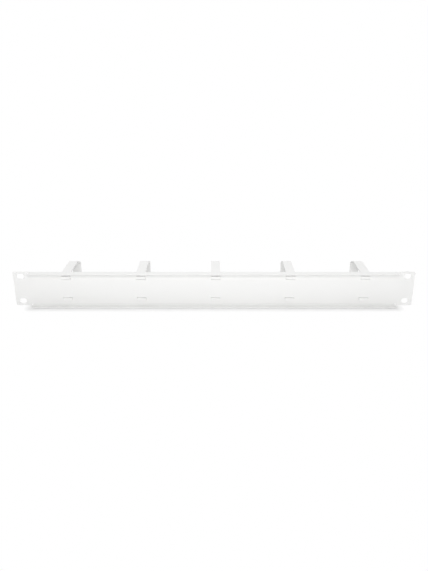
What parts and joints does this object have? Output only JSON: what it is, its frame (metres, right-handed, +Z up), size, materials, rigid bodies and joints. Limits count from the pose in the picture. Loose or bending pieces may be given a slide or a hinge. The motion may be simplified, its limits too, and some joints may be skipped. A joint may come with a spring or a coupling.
{
  "type": "horizontal cable manager",
  "caption": "Folded sheet-steel panel for a 19-inch rack, with slotted ears and a row of bent strip rings on its front that hold cables.",
  "frame": {"origin": "middle of the rear face of the panel, the face that lies against the rack's rails", "axes": "+X along the panel, +Y out of the rack towards the rings, +Z up"},
  "size_m": [0.4826, 0.0685, 0.0436],
  "materials": {
    "white_coat": "satin white powder coat"
  },
  "bodies": {
    "root": {"rack_panel": "white_coat", "cable_ring_1": "white_coat", "cable_ring_2": "white_coat", "cable_ring_3": "white_coat", "cable_ring_4": "white_coat", "cable_ring_5": "white_coat"}
  },
  "joints": []
}
